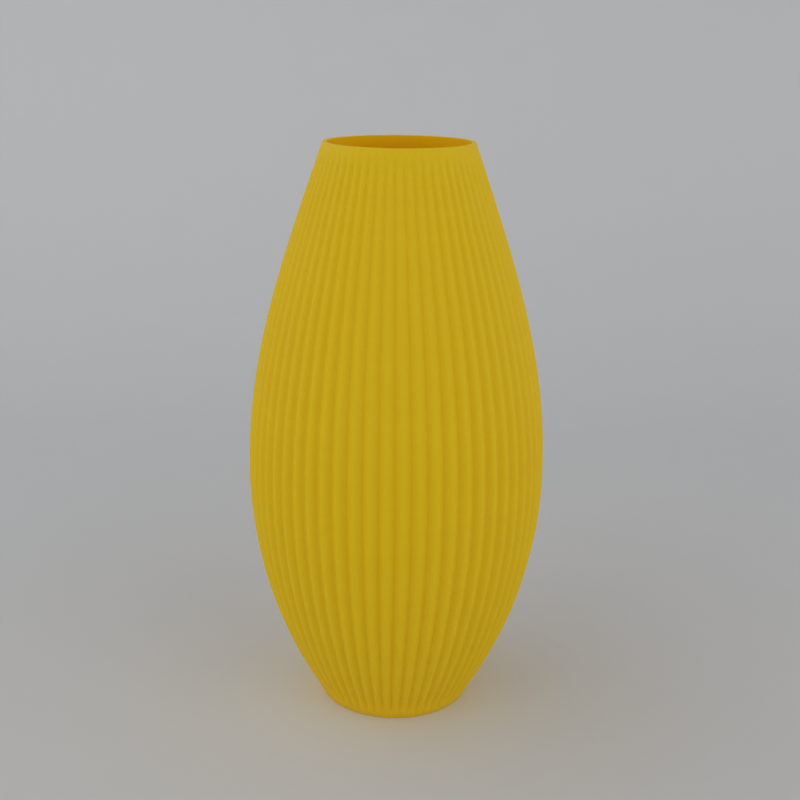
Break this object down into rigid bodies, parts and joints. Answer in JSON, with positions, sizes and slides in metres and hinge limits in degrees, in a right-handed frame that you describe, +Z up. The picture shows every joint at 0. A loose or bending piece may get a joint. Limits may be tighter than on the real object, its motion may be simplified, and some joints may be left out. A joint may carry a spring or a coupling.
{
  "type": "ribbed vase",
  "caption": "Tall egg-shaped vase with narrow vertical ribs, a flat base and an open round mouth, printed in one piece.",
  "frame": {"origin": "centre of the flat underside, on the surface that the vase stands on", "axes": "+Z up along the vase's axis towards the mouth; a groove between two ribs faces -Y"},
  "size_m": [0.13, 0.13, 0.25],
  "materials": {
    "printed_plastic": "satin yellow filament plastic with fine level layer lines"
  },
  "bodies": {
    "root": {"vase": "printed_plastic"}
  },
  "joints": []
}
